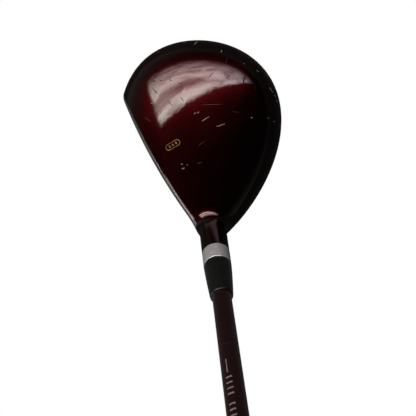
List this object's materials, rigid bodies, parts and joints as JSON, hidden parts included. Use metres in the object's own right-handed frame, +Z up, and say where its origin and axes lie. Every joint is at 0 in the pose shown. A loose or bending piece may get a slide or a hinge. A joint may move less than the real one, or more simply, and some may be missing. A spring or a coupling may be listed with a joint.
{
  "type": "fairway wood",
  "caption": "Right-handed golf fairway wood: hollow steel head with dark red crown, bare collar, black ferrule, tapered shaft and rubber grip.",
  "frame": {"origin": "centre of the sole plate's flat, on the ground at address", "axes": "+X from toe to heel, +Y from the face to the back of the head, +Z up; the face looks to -Y and the shaft rises towards +X"},
  "size_m": [0.6766, 0.0781, 0.9205],
  "materials": {
    "crown_paint": "gloss",
    "sole_steel": "satin",
    "face_steel": "satin",
    "plate_steel": "polished",
    "cast_weight": "matte",
    "foam": "matte",
    "gold_mark": "satin",
    "hosel_steel": "satin",
    "epoxy": "satin",
    "brass_plug": "satin",
    "black_plastic": "satin",
    "shaft_lacquer": "gloss",
    "tape": "matte",
    "grip_rubber": "matte"
  },
  "bodies": {
    "root": {"crown_shell": "crown_paint", "sole_shell": "sole_steel", "face_plate": "face_steel", "sole_plate": "plate_steel", "back_weight": "cast_weight", "foam_core": "foam", "crown_mark": "gold_mark", "hosel_tube": "hosel_steel", "epoxy_bond": "epoxy", "tip_weight": "brass_plug", "ferrule": "black_plastic", "shaft": "shaft_lacquer", "grip_tape": "tape", "grip": "grip_rubber", "grip_cap": "grip_rubber"}
  },
  "joints": []
}
